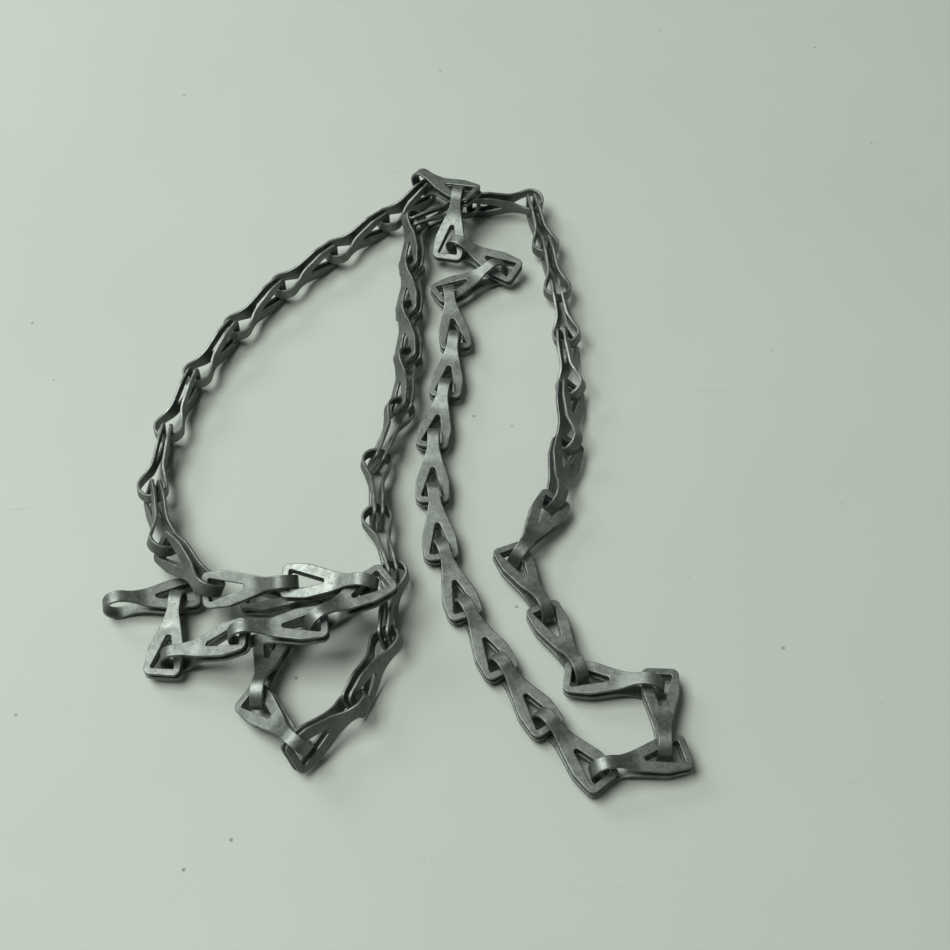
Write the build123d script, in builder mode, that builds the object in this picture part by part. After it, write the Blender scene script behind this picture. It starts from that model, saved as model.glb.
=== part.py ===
from build123d import *
import math
import os

# Sash chain: flat links folded from one strip, each with a pair of triangular eyes
# joined by a rounded loop. The loop of every link wraps the eye of the link before.
# The whole open chain lies on a table as dropped, crossing itself in two places.
# Millimetres, +Z up, origin on the table under the middle of the chain's footprint.

# --- one link ---------------------------------------------------------------
thickness = 1.0        # strip the link is stamped from
eye_width = 11.0       # across the eye
link_length = 29.5     # outside of the loop to the end of the eye
neck_width = 4.0       # strip width round the loop
loop_radius = 4.0      # inside of the loop
leg_gap = 1.3          # between the two folded leaves at the eye
end_bar = 2.2          # closed end of the eye
side_bar = 1.9         # the eye's two long sides
corner_radius = 2.2    # outer corners of the eye
edge_radius = 0.3      # rolled edges left by the stamping
flank_angle = 22.0     # how steeply the leaves close behind the loop
knee_x = 7.8           # where the leaves turn parallel
knee_radius = 10.0
neck_x = 4.0           # neck starts to widen
shoulder_x = 16.2      # full eye width reached
shoulder_radius = 8.0
apex_x = 8.9           # narrow end of the window

outer_radius = loop_radius + thickness
mid_radius = loop_radius + thickness / 2
eye_end = link_length - outer_radius
bar_x = eye_end - end_bar / 2
leaf_z = (leg_gap + thickness) / 2
flank = math.radians(flank_angle)
flank_start = (mid_radius * math.sin(flank), mid_radius * math.cos(flank))
knee_z = flank_start[1] - (knee_x - flank_start[0]) * math.tan(flank)

with BuildPart() as link:
    # side view: loop and both leaves as one bent strip
    with BuildSketch(Plane.XZ) as side:
        with BuildLine() as centre:
            upper = FilletPolyline(
                (eye_end + 2, leaf_z), (knee_x, knee_z), flank_start, radius=knee_radius
            )
            ThreePointArc(flank_start, (-mid_radius, 0), (flank_start[0], -flank_start[1]))
            mirror(upper, about=Plane.XZ)
            offset(amount=thickness / 2, side=Side.BOTH)
        make_face()
    extrude(amount=eye_width / 2, both=True)
    # plan view: neck, shoulders, eye and its window
    with BuildSketch(Plane.XY.offset(-outer_radius - 1)) as plan:
        with BuildLine() as half:
            Polyline(
                (-outer_radius - 1, 0),
                (-outer_radius - 1, neck_width / 2),
                (neck_x, neck_width / 2),
                (shoulder_x, eye_width / 2),
                (eye_end, eye_width / 2),
                (eye_end, 0),
                close=True,
            )
        make_face()
        mirror(about=Plane.XZ)
        far_corners = plan.vertices().group_by(Axis.X)[-1]
        fillet([v for v in far_corners if abs(v.Y) > 1], corner_radius)
        fillet(plan.vertices().filter_by(lambda v: abs(v.X - shoulder_x) < 0.1), shoulder_radius)
        fillet(plan.vertices().filter_by(lambda v: abs(v.X - neck_x) < 0.1), shoulder_radius)
        with BuildSketch(mode=Mode.PRIVATE) as window:
            with BuildLine():
                Polyline(
                    (apex_x, 0),
                    (eye_end - end_bar, eye_width / 2 - side_bar),
                    (eye_end - end_bar, side_bar - eye_width / 2),
                    close=True,
                )
            make_face()
            fillet(window.vertices().sort_by(Axis.X)[0], 0.8)
            fillet(window.vertices().group_by(Axis.X)[-1], 0.5)
        add(window.sketch, mode=Mode.SUBTRACT)
    extrude(amount=2 * outer_radius + 2, mode=Mode.INTERSECT)
    # rolled edges: every rim that follows the strip, and the four edges of each end bar
    across = link.edges().filter_by(Axis.Y)
    rims = link.edges() - link.edges().filter_by(Axis.Z) - across
    rims += across.filter_by(lambda e: abs(abs(e.center().X - bar_x) - end_bar / 2) < 0.01)
    fillet(rims, edge_radius)

# --- how the chain lies -----------------------------------------------------
# Runs of links in order. A link is placed by its heading on the table (degrees from +X),
# its roll about its own length (0 flat, 90 on edge), its tilt (eye end up) and the height
# of its loop centre. hook is where the run's first loop sits in the eye before it (along,
# across). Later loops sit against the end bar, slack further along. One number serves a
# whole run, a list serves its links one by one.
edge_on = eye_width / 2      # loop centre of a link standing on edge
flat_down = outer_radius     # loop centre of a link lying flat

RUNS = [
    # name, headings, roll, tilt, hook, height, slack
    ("tail_a", [12], 0, -3.5, None, flat_down, 0),
    ("tail_b", [-94], 0, -2, (17.2, -4.2), flat_down, 0),
    ("low_a", [5], 0, [25], (18.6, 3.9), 5.8, 0),
    ("low_b", [8], 0, 2, None, 15.8, -0.3),
    ("low_c", [36], 0, 2, (22.5, 1.6), 16.4, 0),
    ("back_a", [174], -14, -6, (16.1, 2.6), 17.7, 0),
    ("back_b", [181], -30, -9, (24.4, 0.5), 15.3, 0.5),
    ("arc_a", [134, 108, 86], [-48, -66, -84], [-9, -8, -2], (22.9, -2), [12.8, 9.4, 6.4], [0, 0.9, 0.8]),
    ("arc_b", [75, 63, 54, 45, 43, 48], 90, 0, None, [5.8, 5.6, 5.5, 5.5, 5.5, 5.5], 1.9),
    ("top_a", [-37], 0, 12.5, (19.5, 3.7), 11.1, 0),
    ("top_b", [-100], 0, -25, (19.3, -3.7), 15, 0),
    ("top_c", [-30], 10, -5, (18.8, 3.8), 7.1, 0),
    ("top_d", [-151], 4, -3, (17, -3.8), 5.8, 0),
    ("middle", [-83, -97, -100, -90, -83, -72, -63, -56, -50], 0, -3.2, (20.6, 3.3), flat_down, -1),
    ("right_a", [14], 0, -3, (21.2, 3.1), flat_down, 0),
    ("right_b", [88], 0, -3, (18.2, 3.9), flat_down, 0),
    ("right_c", [172], 0, -3, (18.6, 3.9), flat_down, 0),
    ("right_d", [114], 0, -3, (21.3, -2.9), 5.1, 0),
    ("right_e", [115], 4, -0.5, None, flat_down, 0),
    ("right_f", [60], 15, -1, (21.1, -3.2), 5.4, 0),
    ("rise_a", [77], 31, 0, (24, 0.6), 5.4, 0),
    ("rise_b", [85, 91, 96], [47, 63, 78], 0, None, [5.4, 5.6, 5.6], 0.5),
    ("rise_c", [99, 102], 90, 0, None, edge_on, -0.5),
    ("under_a", [185], 78, 0, (24.2, 0.8), 6, 0),
    ("under_b", [207], 62, -3, (24.3, 0.8), 6.8, 0),
    (
        "fall_a", [-92, -91, -89, -95, -108], [52, 46, 48, 56, 66],
        [-5, -1, 0, 0, -1], (22.4, 2.6), [7.7, 5.7, 5.8, 6, 5.9], [0, -0.9, -0.9, -0.5, -0.5],
    ),
    (
        "fall_b", [-87, -75, -93, -112, -133], [80, 90, 98, 110, 124],
        0, None, [5.6, 5.5, 5.7, 5.7, 6.2], [-0.4, -0.8, -1.3, 0.4, -0.4],
    ),
    ("foot_a", [133], -24, -12, (19.7, 3.7), 9, 0),
    ("foot_b", [84], -4, -6, (20.6, -2.8), 6.7, 0),
    ("foot_c", [40], 0, -3.5, (20.9, -2.7), flat_down, 0),
    ("foot_d", [175], 0, -3.5, (16.3, 3.1), flat_down, 0),
]


def of_link(value, index):
    return value[index] if isinstance(value, list) else value


def lying(origin, heading, roll, tilt):
    # X along the link, Z across its two leaves
    h = math.radians(heading)
    t = math.radians(tilt)
    along = Vector(math.cos(h) * math.cos(t), math.sin(h) * math.cos(t), math.sin(t))
    level = Vector(-math.sin(h), math.cos(h), 0)
    r = math.radians(roll)
    across = level * math.cos(r) + along.cross(level) * math.sin(r)
    return Plane(origin, along, along.cross(across))


def seat(before, heading, slack):
    # along the end bar the loop slides towards the inside of the bend
    ahead = before.to_local_coords(before.origin + Vector(math.cos(heading), math.sin(heading)))
    turn = math.degrees(math.atan2(ahead.Y, ahead.X))
    return (bar_x + 0.2 + slack, max(-1.6, min(1.6, 0.06 * turn)))


places = []
for name, headings, rolls, tilts, hook, heights, slacks in RUNS:
    for i, heading in enumerate(headings):
        if not places:
            spot = Vector(0, 0, 0)
        else:
            before = places[-1]
            given = hook if i == 0 and hook else None
            u, v = given or seat(before, math.radians(heading), of_link(slacks, i))
            spot = before.from_local_coords(Vector(u, v, 0))
        spot = Vector(spot.X, spot.Y, of_link(heights, i))
        places.append(lying(spot, heading, of_link(rolls, i), of_link(tilts, i)))

# middle of the footprint to the origin, lowest point onto the table
laid = [place.location * link.part for place in places]
boxes = [piece.bounding_box() for piece in laid]
shift = Vector(
    -(min(b.min.X for b in boxes) + max(b.max.X for b in boxes)) / 2,
    -(min(b.min.Y for b in boxes) + max(b.max.Y for b in boxes)) / 2,
    -min(b.min.Z for b in boxes),
)

os.makedirs("parts", exist_ok=True)
for number, place in enumerate(places, start=1):
    with BuildPart() as piece:
        with Locations(Location(shift) * place.location):
            add(link.part)
    piece.part.label = f"link_{number:02d}"
    export_step(piece.part, f"parts/link_{number:02d}.step", write_pcurves=False)
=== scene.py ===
import math

import bpy
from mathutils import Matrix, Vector


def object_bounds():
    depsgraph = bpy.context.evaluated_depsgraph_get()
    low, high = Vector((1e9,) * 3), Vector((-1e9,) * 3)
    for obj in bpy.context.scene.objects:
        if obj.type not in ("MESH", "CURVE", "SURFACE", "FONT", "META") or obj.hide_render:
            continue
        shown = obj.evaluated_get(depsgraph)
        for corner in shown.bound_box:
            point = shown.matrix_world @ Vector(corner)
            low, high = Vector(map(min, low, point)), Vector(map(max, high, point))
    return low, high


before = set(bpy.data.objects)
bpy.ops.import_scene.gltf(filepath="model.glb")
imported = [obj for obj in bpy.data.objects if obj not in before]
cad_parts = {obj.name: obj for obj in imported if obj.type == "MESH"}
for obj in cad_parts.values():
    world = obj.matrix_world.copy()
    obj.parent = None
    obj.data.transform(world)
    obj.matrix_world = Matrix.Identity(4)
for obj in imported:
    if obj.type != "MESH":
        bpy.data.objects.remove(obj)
cad_low, cad_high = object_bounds()

MM = 0.001

# Texture scales on the links and the table are per metre, and colours are linear RGBA.

# ---- camera: where it stands and what it looks at, in metres ----
CAMERA_ELEVATION = math.radians(52.0)
CAMERA_DISTANCE = 0.480
LENS_MM = 54.95
SENSOR_MM = 36.0
AIM_FROM_MIDDLE = Vector((0.0260, -0.0105, 0.0))
CLIP_NEAR = 0.01
CLIP_FAR = 20.0

# ---- finish of the links ----
STEEL_DARK = (0.105, 0.116, 0.107, 1.0)
STEEL_MID = (0.190, 0.208, 0.192, 1.0)
# pale of the frosted patches, and the painted sheen on faces that look up
STEEL_PALE_AND_SHEEN = (0.330, 0.356, 0.332, 1.0)
# near-white of the rubbed edges, partly a painted highlight
EDGE_WEAR_AND_HIGHLIGHT = (0.940, 0.965, 0.940, 1.0)
# dark of the pits, and the painted shade in the folds
DARK_PITS_AND_SHADE = (0.030, 0.034, 0.031, 1.0)
CLOUD_SCALE = 210.0
FROST_SCALE = 900.0
GRAIN_SCALE = 4200.0
PIT_SCALE = 1150.0
# noise that breaks up the rubbed edges and the painted sheen on upward faces
WEAR_AND_SHEEN_SCALE = 480.0
EDGE_RADIUS = 0.22 * MM      # reach of the rubbed edges and their painted highlight
SHADE_REACH = 3.0 * MM       # gaps narrower than this get painted shade
NODE_SAMPLES = 6             # rays of the bevel and occlusion nodes
PATCH_STEP_X = 0.37          # from one link's patch of the textures to the next's
PATCH_STEP_Z = 0.11
TONE_STEP = 0.618            # spreads the links' tones evenly

# ---- table top ----
TABLE_TONE = (0.420, 0.449, 0.408, 1.0)
TABLE_WORN = (0.395, 0.424, 0.386, 1.0)
TABLE_SPECK = (0.100, 0.110, 0.095, 1.0)
TABLE_HALF = 1.6
TABLE_DROP = 0.05 * MM       # keeps the top just clear of the lowest link
TABLE_CLOUD_SCALE = 6.0
TABLE_PEEL_SCALE = 900.0
TABLE_SPECK_SCALE = 75.0
SCRATCH_TURN = 0.5
SCRATCH_STRETCH = (9.0, 120.0, 1.0)

# ---- room and lights: places are from the middle of the chain, in metres ----
HORIZON = (0.042, 0.047, 0.043, 1.0)
ZENITH = (0.200, 0.218, 0.200, 1.0)
WALL_PATCH = (0.03, 0.034, 0.031, 1.0)
WALL_PATCH_SCALE = 2.6
LIGHTS = [
    # name, place, width, height, watts, colour
    ("ceiling_panel", (-0.72, -0.02, 1.55), 1.2, 0.9, 36.0, (0.97, 1.0, 0.96)),
    ("side_window", (-1.20, 1.00, 0.95), 0.7, 0.5, 9.8, (0.95, 1.0, 0.97)),
]


class Graph:
    """A material or world node tree, written as expressions."""

    def __init__(self, owner):
        owner.use_nodes = True
        self.tree = owner.node_tree
        self.tree.nodes.clear()

    def node(self, kind, **settings):
        made = self.tree.nodes.new(kind)
        for key, value in settings.items():
            setattr(made, key, value)
        return made

    def feed(self, socket, value):
        if isinstance(value, bpy.types.NodeSocket):
            self.tree.links.new(value, socket)
        else:
            socket.default_value = value

    def build(self, kind, inputs, **settings):
        made = self.node(kind, **settings)
        for name, value in inputs.items():
            self.feed(made.inputs[name], value)
        return made

    def math(self, operation, a, b=0.0, clamp=False):
        inputs = {0: a, 1: b}
        made = self.build("ShaderNodeMath", inputs, operation=operation, use_clamp=clamp)
        return made.outputs[0]

    def vector(self, operation, a, b):
        made = self.build("ShaderNodeVectorMath", {0: a, 1: b}, operation=operation)
        return made.outputs["Value" if operation == "DOT_PRODUCT" else "Vector"]

    def noise(self, where, scale, detail=2.0, roughness=0.5, distortion=0.0):
        inputs = {
            "Vector": where,
            "Scale": scale,
            "Detail": detail,
            "Roughness": roughness,
            "Distortion": distortion,
        }
        return self.build("ShaderNodeTexNoise", inputs).outputs["Fac"]

    def cells(self, where, scale):
        inputs = {"Vector": where, "Scale": scale, "Randomness": 1.0}
        made = self.build("ShaderNodeTexVoronoi", inputs, feature="F1")
        return made.outputs["Distance"], made.outputs["Color"]

    def span(self, value, low, high, out_low=0.0, out_high=1.0):
        inputs = {
            "Value": value,
            "From Min": low,
            "From Max": high,
            "To Min": out_low,
            "To Max": out_high,
        }
        return self.build("ShaderNodeMapRange", inputs, clamp=True).outputs["Result"]

    def mix(self, factor, a, b):
        # a Mix node's colour sockets are 6 and 7, and its colour result is 2
        made = self.build("ShaderNodeMix", {0: factor, 6: a, 7: b}, data_type="RGBA")
        return made.outputs[2]

    def bump(self, height, strength, distance, normal=None):
        inputs = {"Strength": strength, "Distance": distance, "Height": height}
        if normal is not None:
            inputs["Normal"] = normal
        return self.build("ShaderNodeBump", inputs).outputs["Normal"]

    def red(self, colour):
        return self.build("ShaderNodeSeparateColor", {0: colour}).outputs[0]

    def upward(self, vector):
        return self.build("ShaderNodeSeparateXYZ", {0: vector}).outputs[2]

    def surface(self, **inputs):
        """Ends the tree in one Principled shader; underscores in a name stand for spaces."""
        named = {name.replace("_", " "): value for name, value in inputs.items()}
        shader = self.build("ShaderNodeBsdfPrincipled", named)
        self.build("ShaderNodeOutputMaterial", {"Surface": shader.outputs["BSDF"]})


def galvanised_material():
    """Dull zinc-coated strip: mottled satin grey, pitted, rubbed bright on its edges, where the
    brightness is partly a painted highlight, with a painted sheen on faces that look up.

    Painted shade darkens the folds.
    """
    material = bpy.data.materials.new("galvanised_strip")
    g = Graph(material)
    place = g.node("ShaderNodeTexCoord").outputs["Object"]
    index = g.node("ShaderNodeObjectInfo").outputs["Object Index"]
    true_normal = g.node("ShaderNodeNewGeometry").outputs["Normal"]

    # every link takes its own patch of the textures and its own tone
    patch = {0: g.math("MULTIPLY", index, PATCH_STEP_X), 2: g.math("MULTIPLY", index, PATCH_STEP_Z)}
    shift = g.build("ShaderNodeCombineXYZ", patch)
    where = g.vector("ADD", place, shift.outputs[0])
    tone = g.math("FRACT", g.math("MULTIPLY", index, TONE_STEP))

    cloud = g.noise(where, CLOUD_SCALE, 5.0, 0.58, 0.6)
    frost = g.noise(where, FROST_SCALE, 4.0, 0.62, 0.3)
    grain = g.noise(where, GRAIN_SCALE)
    wear_and_sheen_noise = g.noise(where, WEAR_AND_SHEEN_SCALE, 3.0, 0.6)
    pit_distance, pit_colour = g.cells(where, PIT_SCALE)

    mottled = g.mix(g.span(cloud, 0.30, 0.62), STEEL_DARK, STEEL_MID)
    frosted = g.mix(g.span(frost, 0.48, 0.76, 0.0, 0.35), mottled, STEEL_PALE_AND_SHEEN)
    toned = g.mix(g.span(tone, 0.0, 1.0, 0.0, 0.28), frosted, STEEL_MID)

    # faces that look up are painted paler in patches: a painted sheen from the light overhead
    faces_up = g.span(g.upward(true_normal), 0.35, 1.0)
    top_sheen = g.math("MULTIPLY", faces_up, g.span(wear_and_sheen_noise, 0.42, 0.68, 0.0, 0.40))
    with_top_sheen = g.mix(top_sheen, toned, STEEL_PALE_AND_SHEEN)

    # pits: small dark craters, only in some cells
    is_pit = g.span(g.red(pit_colour), 0.62, 0.70)
    pit = g.math("MULTIPLY", g.span(pit_distance, 0.16, 0.30, 1.0, 0.0), is_pit)
    pitted = g.mix(g.math("MULTIPLY", pit, 0.7), with_top_sheen, DARK_PITS_AND_SHADE)

    # rubbed edges, partly a painted highlight: near-white where a rounded normal leaves the true
    # one
    bevel = g.build("ShaderNodeBevel", {"Radius": EDGE_RADIUS}, samples=NODE_SAMPLES)
    rounded = bevel.outputs["Normal"]
    bend = g.math("SUBTRACT", 1.0, g.vector("DOT_PRODUCT", rounded, true_normal))
    edge = g.span(bend, 0.010, 0.12)
    edge_wear_and_highlight = g.math("MULTIPLY", edge, g.span(wear_and_sheen_noise, 0.30, 0.60, 0.50, 1.0))
    with_edge_wear_and_highlight = g.mix(edge_wear_and_highlight, pitted, EDGE_WEAR_AND_HIGHLIGHT)

    # painted shade where two layers of strip lie close together; it also dulls the metal there
    occlusion = {"Distance": SHADE_REACH}
    close = g.build("ShaderNodeAmbientOcclusion", occlusion, samples=NODE_SAMPLES)
    fold_shade = g.span(close.outputs["AO"], 0.22, 0.82, 0.92, 0.0)

    roughness = g.span(frost, 0.3, 0.75, 0.44, 0.60)
    roughness = g.math("SUBTRACT", roughness, g.math("MULTIPLY", edge_wear_and_highlight, 0.24))
    roughness = g.math("ADD", roughness, g.math("MULTIPLY", fold_shade, 0.25), clamp=True)

    # relief, coarse to fine
    relief = g.bump(cloud, 0.25, 0.08 * MM, rounded)
    frost_less_pits = g.math("SUBTRACT", frost, g.math("MULTIPLY", pit, 0.8))
    relief = g.bump(frost_less_pits, 0.45, 0.05 * MM, relief)
    relief = g.bump(grain, 0.30, 0.015 * MM, relief)

    g.surface(
        Base_Color=g.mix(fold_shade, with_edge_wear_and_highlight, DARK_PITS_AND_SHADE),
        Metallic=g.span(fold_shade, 0.0, 0.92, 0.92, 0.45),
        Roughness=roughness,
        Normal=relief,
    )
    return material


def table_material():
    """Pale painted board: clouding, a fine orange-peel, specks and hairline scratches."""
    material = bpy.data.materials.new("pale_table")
    g = Graph(material)
    place = g.node("ShaderNodeTexCoord").outputs["Object"]
    cloud = g.noise(place, TABLE_CLOUD_SCALE, 4.0, 0.55)
    peel = g.noise(place, TABLE_PEEL_SCALE)
    board = g.mix(g.span(cloud, 0.35, 0.70), TABLE_TONE, TABLE_WORN)
    board = g.mix(g.span(peel, 0.30, 0.75, 0.0, 0.55), board, TABLE_WORN)

    # specks: a dot in the middle of some cells
    speck_distance, speck_colour = g.cells(place, TABLE_SPECK_SCALE)
    dot = g.span(speck_distance, 0.020, 0.055, 1.0, 0.0)
    speck = g.math("MULTIPLY", dot, g.span(g.red(speck_colour), 0.82, 0.86))
    specked = g.mix(g.math("MULTIPLY", speck, 0.75), board, TABLE_SPECK)

    # hairlines: the crests of a noise stretched along one direction
    stretch = {
        "Vector": place,
        "Rotation": (0.0, 0.0, SCRATCH_TURN),
        "Scale": SCRATCH_STRETCH,
    }
    stretched = g.build("ShaderNodeMapping", stretch).outputs[0]
    hair = g.span(g.noise(stretched, 1.0, 3.0, 0.6, 1.5), 0.700, 0.73)

    g.surface(
        Base_Color=g.mix(g.math("MULTIPLY", hair, 0.09), specked, TABLE_SPECK),
        Roughness=0.62,
        Specular_IOR_Level=0.25,
        Normal=g.bump(peel, 0.12, 0.05 * MM),
    )
    return material


def room():
    """A dim room: a pale ceiling overhead, darker walls towards the horizon."""
    world = bpy.data.worlds.new("room")
    bpy.context.scene.world = world
    g = Graph(world)
    direction = g.node("ShaderNodeTexCoord").outputs["Generated"]
    height = g.span(g.upward(direction), 0.05, 0.95)
    colour = g.mix(height, HORIZON, ZENITH)
    patch = g.noise(direction, WALL_PATCH_SCALE)
    colour = g.mix(g.span(patch, 0.35, 0.65, 0.0, 0.35), colour, WALL_PATCH)
    shade = g.build("ShaderNodeBackground", {"Color": colour, "Strength": 1.0})
    g.build("ShaderNodeOutputWorld", {"Surface": shade.outputs["Background"]})


def add_object(name, data):
    made = bpy.data.objects.new(name, data)
    bpy.context.scene.collection.objects.link(made)
    return made


def area_light(name, at, towards, width, height, watts, colour):
    data = bpy.data.lights.new(name, "AREA")
    data.shape = "RECTANGLE"
    data.size = width
    data.size_y = height
    data.energy = watts
    data.color = colour
    lamp = add_object(name, data)
    lamp.location = at
    lamp.rotation_euler = (towards - at).to_track_quat("-Z", "Y").to_euler()


# ---- the links: CAD shapes as packed, one finish for all ----
steel = galvanised_material()
for number, name in enumerate(sorted(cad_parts), start=1):
    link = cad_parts[name]
    link.data.materials.clear()
    link.data.materials.append(steel)
    link.pass_index = number

# ---- the table under them ----
middle = Vector(((cad_low.x + cad_high.x) / 2, (cad_low.y + cad_high.y) / 2, 0.0))
table_mesh = bpy.data.meshes.new("table_top")
corners = [(-1, -1), (1, -1), (1, 1), (-1, 1)]
table_mesh.from_pydata(
    [(middle.x + x * TABLE_HALF, middle.y + y * TABLE_HALF, 0.0) for x, y in corners],
    [],
    [(0, 1, 2, 3)],
)
table_mesh.materials.append(table_material())
table_top = add_object("table_top", table_mesh)
table_top.location.z = -TABLE_DROP

room()
for name, place, width, height, watts, colour in LIGHTS:
    area_light(name, middle + Vector(place), middle, width, height, watts, colour)

# ---- camera ----
scene = bpy.context.scene
scene.view_settings.view_transform = "Standard"
scene.view_settings.look = "None"
camera_data = bpy.data.cameras.new("camera")
camera_data.lens = LENS_MM
camera_data.sensor_width = SENSOR_MM
camera_data.clip_start = CLIP_NEAR
camera_data.clip_end = CLIP_FAR
camera = add_object("camera", camera_data)
back = Vector((0.0, -math.cos(CAMERA_ELEVATION), math.sin(CAMERA_ELEVATION)))
camera.location = middle + AIM_FROM_MIDDLE + back * CAMERA_DISTANCE
camera.rotation_euler = (-back).to_track_quat("-Z", "Y").to_euler()
scene.camera = camera
